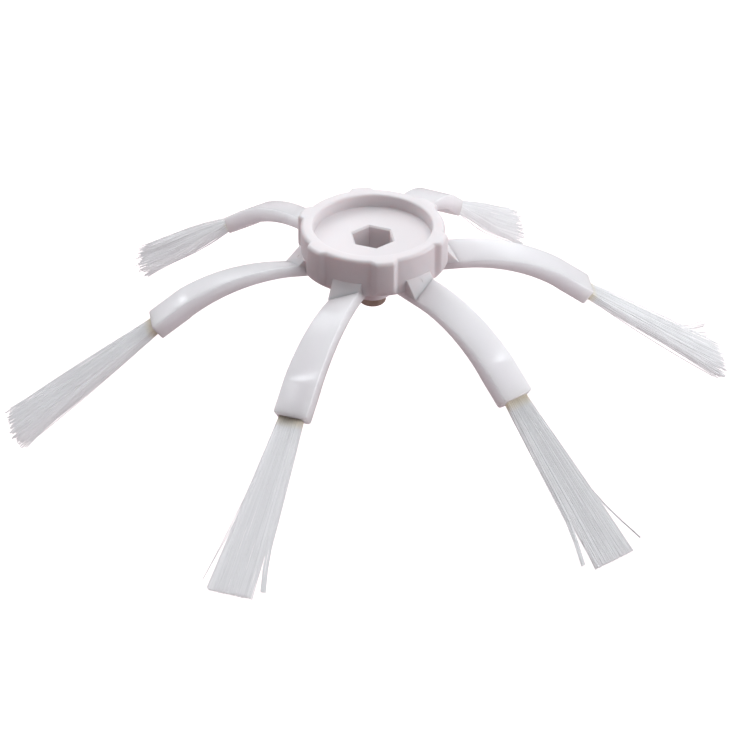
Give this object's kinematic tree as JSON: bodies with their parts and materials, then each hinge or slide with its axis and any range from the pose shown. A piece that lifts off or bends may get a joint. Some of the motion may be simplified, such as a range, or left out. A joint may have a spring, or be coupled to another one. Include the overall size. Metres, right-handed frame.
{
  "type": "robot vacuum side brush",
  "caption": "Side brush for a robot vacuum: lobed hub with round recess and hex drive socket, drooping soft arms ending in fanned bristle tufts, and a retaining screw.",
  "frame": {"origin": "on the hub's axis at the floor of the round recess, where the machine's drive seat meets it", "axes": "+Z along the hub's axis, out of the recess and away from the bristles; +X along arm 1"},
  "size_m": [0.1593, 0.14, 0.0465],
  "materials": {
    "hub_plastic": "satin moulded white plastic",
    "arm_rubber": "soft satin white elastomer",
    "bristle_nylon": "translucent white nylon filaments",
    "screw_metal": "dull brown plated metal"
  },
  "bodies": {
    "root": {"hub": "hub_plastic", "arm_1": "arm_rubber", "arm_2": "arm_rubber", "arm_3": "arm_rubber", "arm_4": "arm_rubber", "arm_5": "arm_rubber", "arm_6": "arm_rubber", "tuft_1": "bristle_nylon", "tuft_2": "bristle_nylon", "tuft_3": "bristle_nylon", "tuft_4": "bristle_nylon", "tuft_5": "bristle_nylon", "tuft_6": "bristle_nylon", "retaining_screw": "screw_metal"}
  },
  "joints": []
}
